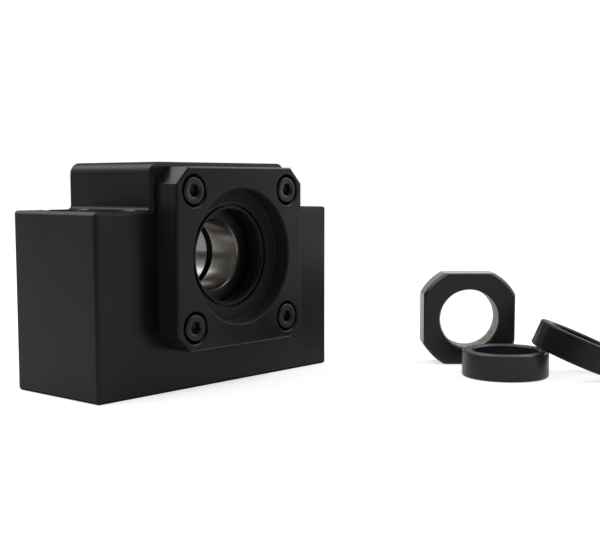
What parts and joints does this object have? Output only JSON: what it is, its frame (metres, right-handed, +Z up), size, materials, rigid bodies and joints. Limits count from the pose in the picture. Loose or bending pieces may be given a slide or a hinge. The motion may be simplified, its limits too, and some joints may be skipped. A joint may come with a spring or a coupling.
{
  "type": "ball screw end support",
  "caption": "Square-block fixed-side end support for a ball screw: T-shaped housing, holding lid, angular-contact bearing pair and seals, with its lock nut and spacer collars beside it.",
  "frame": {"origin": "centre of the housing's base face, midway between its front and rear faces and below the screw axis", "axes": "+Z up from the base; Y along the screw axis with the holding lid on the -Y side; +X to the right seen from the lid"},
  "size_m": [0.1037, 0.092, 0.048],
  "materials": {
    "black_oxide_steel": "black oxide, satin",
    "screw_steel": "black oxide, oiled",
    "seal_rubber": "matt moulded",
    "ground_steel": "ground",
    "ball_steel": "polished",
    "cage_plastic": "moulded",
    "pad_brass": "turned"
  },
  "bodies": {
    "block": {"housing": "black_oxide_steel", "holding_lid": "black_oxide_steel", "lid_screw_top_left": "screw_steel", "lid_screw_top_right": "screw_steel", "lid_screw_bottom_left": "screw_steel", "lid_screw_bottom_right": "screw_steel", "front_seal": "seal_rubber", "rear_seal": "seal_rubber", "front_outer_ring": "ground_steel", "rear_outer_ring": "ground_steel", "lock_nut": "black_oxide_steel", "nut_set_screw": "screw_steel", "nut_pad": "pad_brass", "flat_collar": "black_oxide_steel", "leaning_collar": "black_oxide_steel"},
    "inner_rings": {"front_inner_ring": "ground_steel", "rear_inner_ring": "ground_steel"},
    "front_ball_row": {"front_cage": "cage_plastic", "front_balls": "ball_steel"},
    "rear_ball_row": {"rear_cage": "cage_plastic", "rear_balls": "ball_steel"}
  },
  "joints": [
    {"name": "shaft_spin", "type": "hinge", "parent": "block", "child": "inner_rings", "pos_m": [0, -0.0015, 0.028], "axis": [0, 1, 0], "continuous": true},
    {"name": "front_row_orbit", "type": "hinge", "parent": "block", "child": "front_ball_row", "pos_m": [0, -0.006, 0.028], "axis": [0, 1, 0], "continuous": true},
    {"name": "rear_row_orbit", "type": "hinge", "parent": "block", "child": "rear_ball_row", "pos_m": [0, 0.003, 0.028], "axis": [0, 1, 0], "continuous": true}
  ],
  "couplings": [
    {"joint": "front_row_orbit", "follows": "shaft_spin", "ratio": 0.4123},
    {"joint": "rear_row_orbit", "follows": "shaft_spin", "ratio": 0.4123}
  ]
}
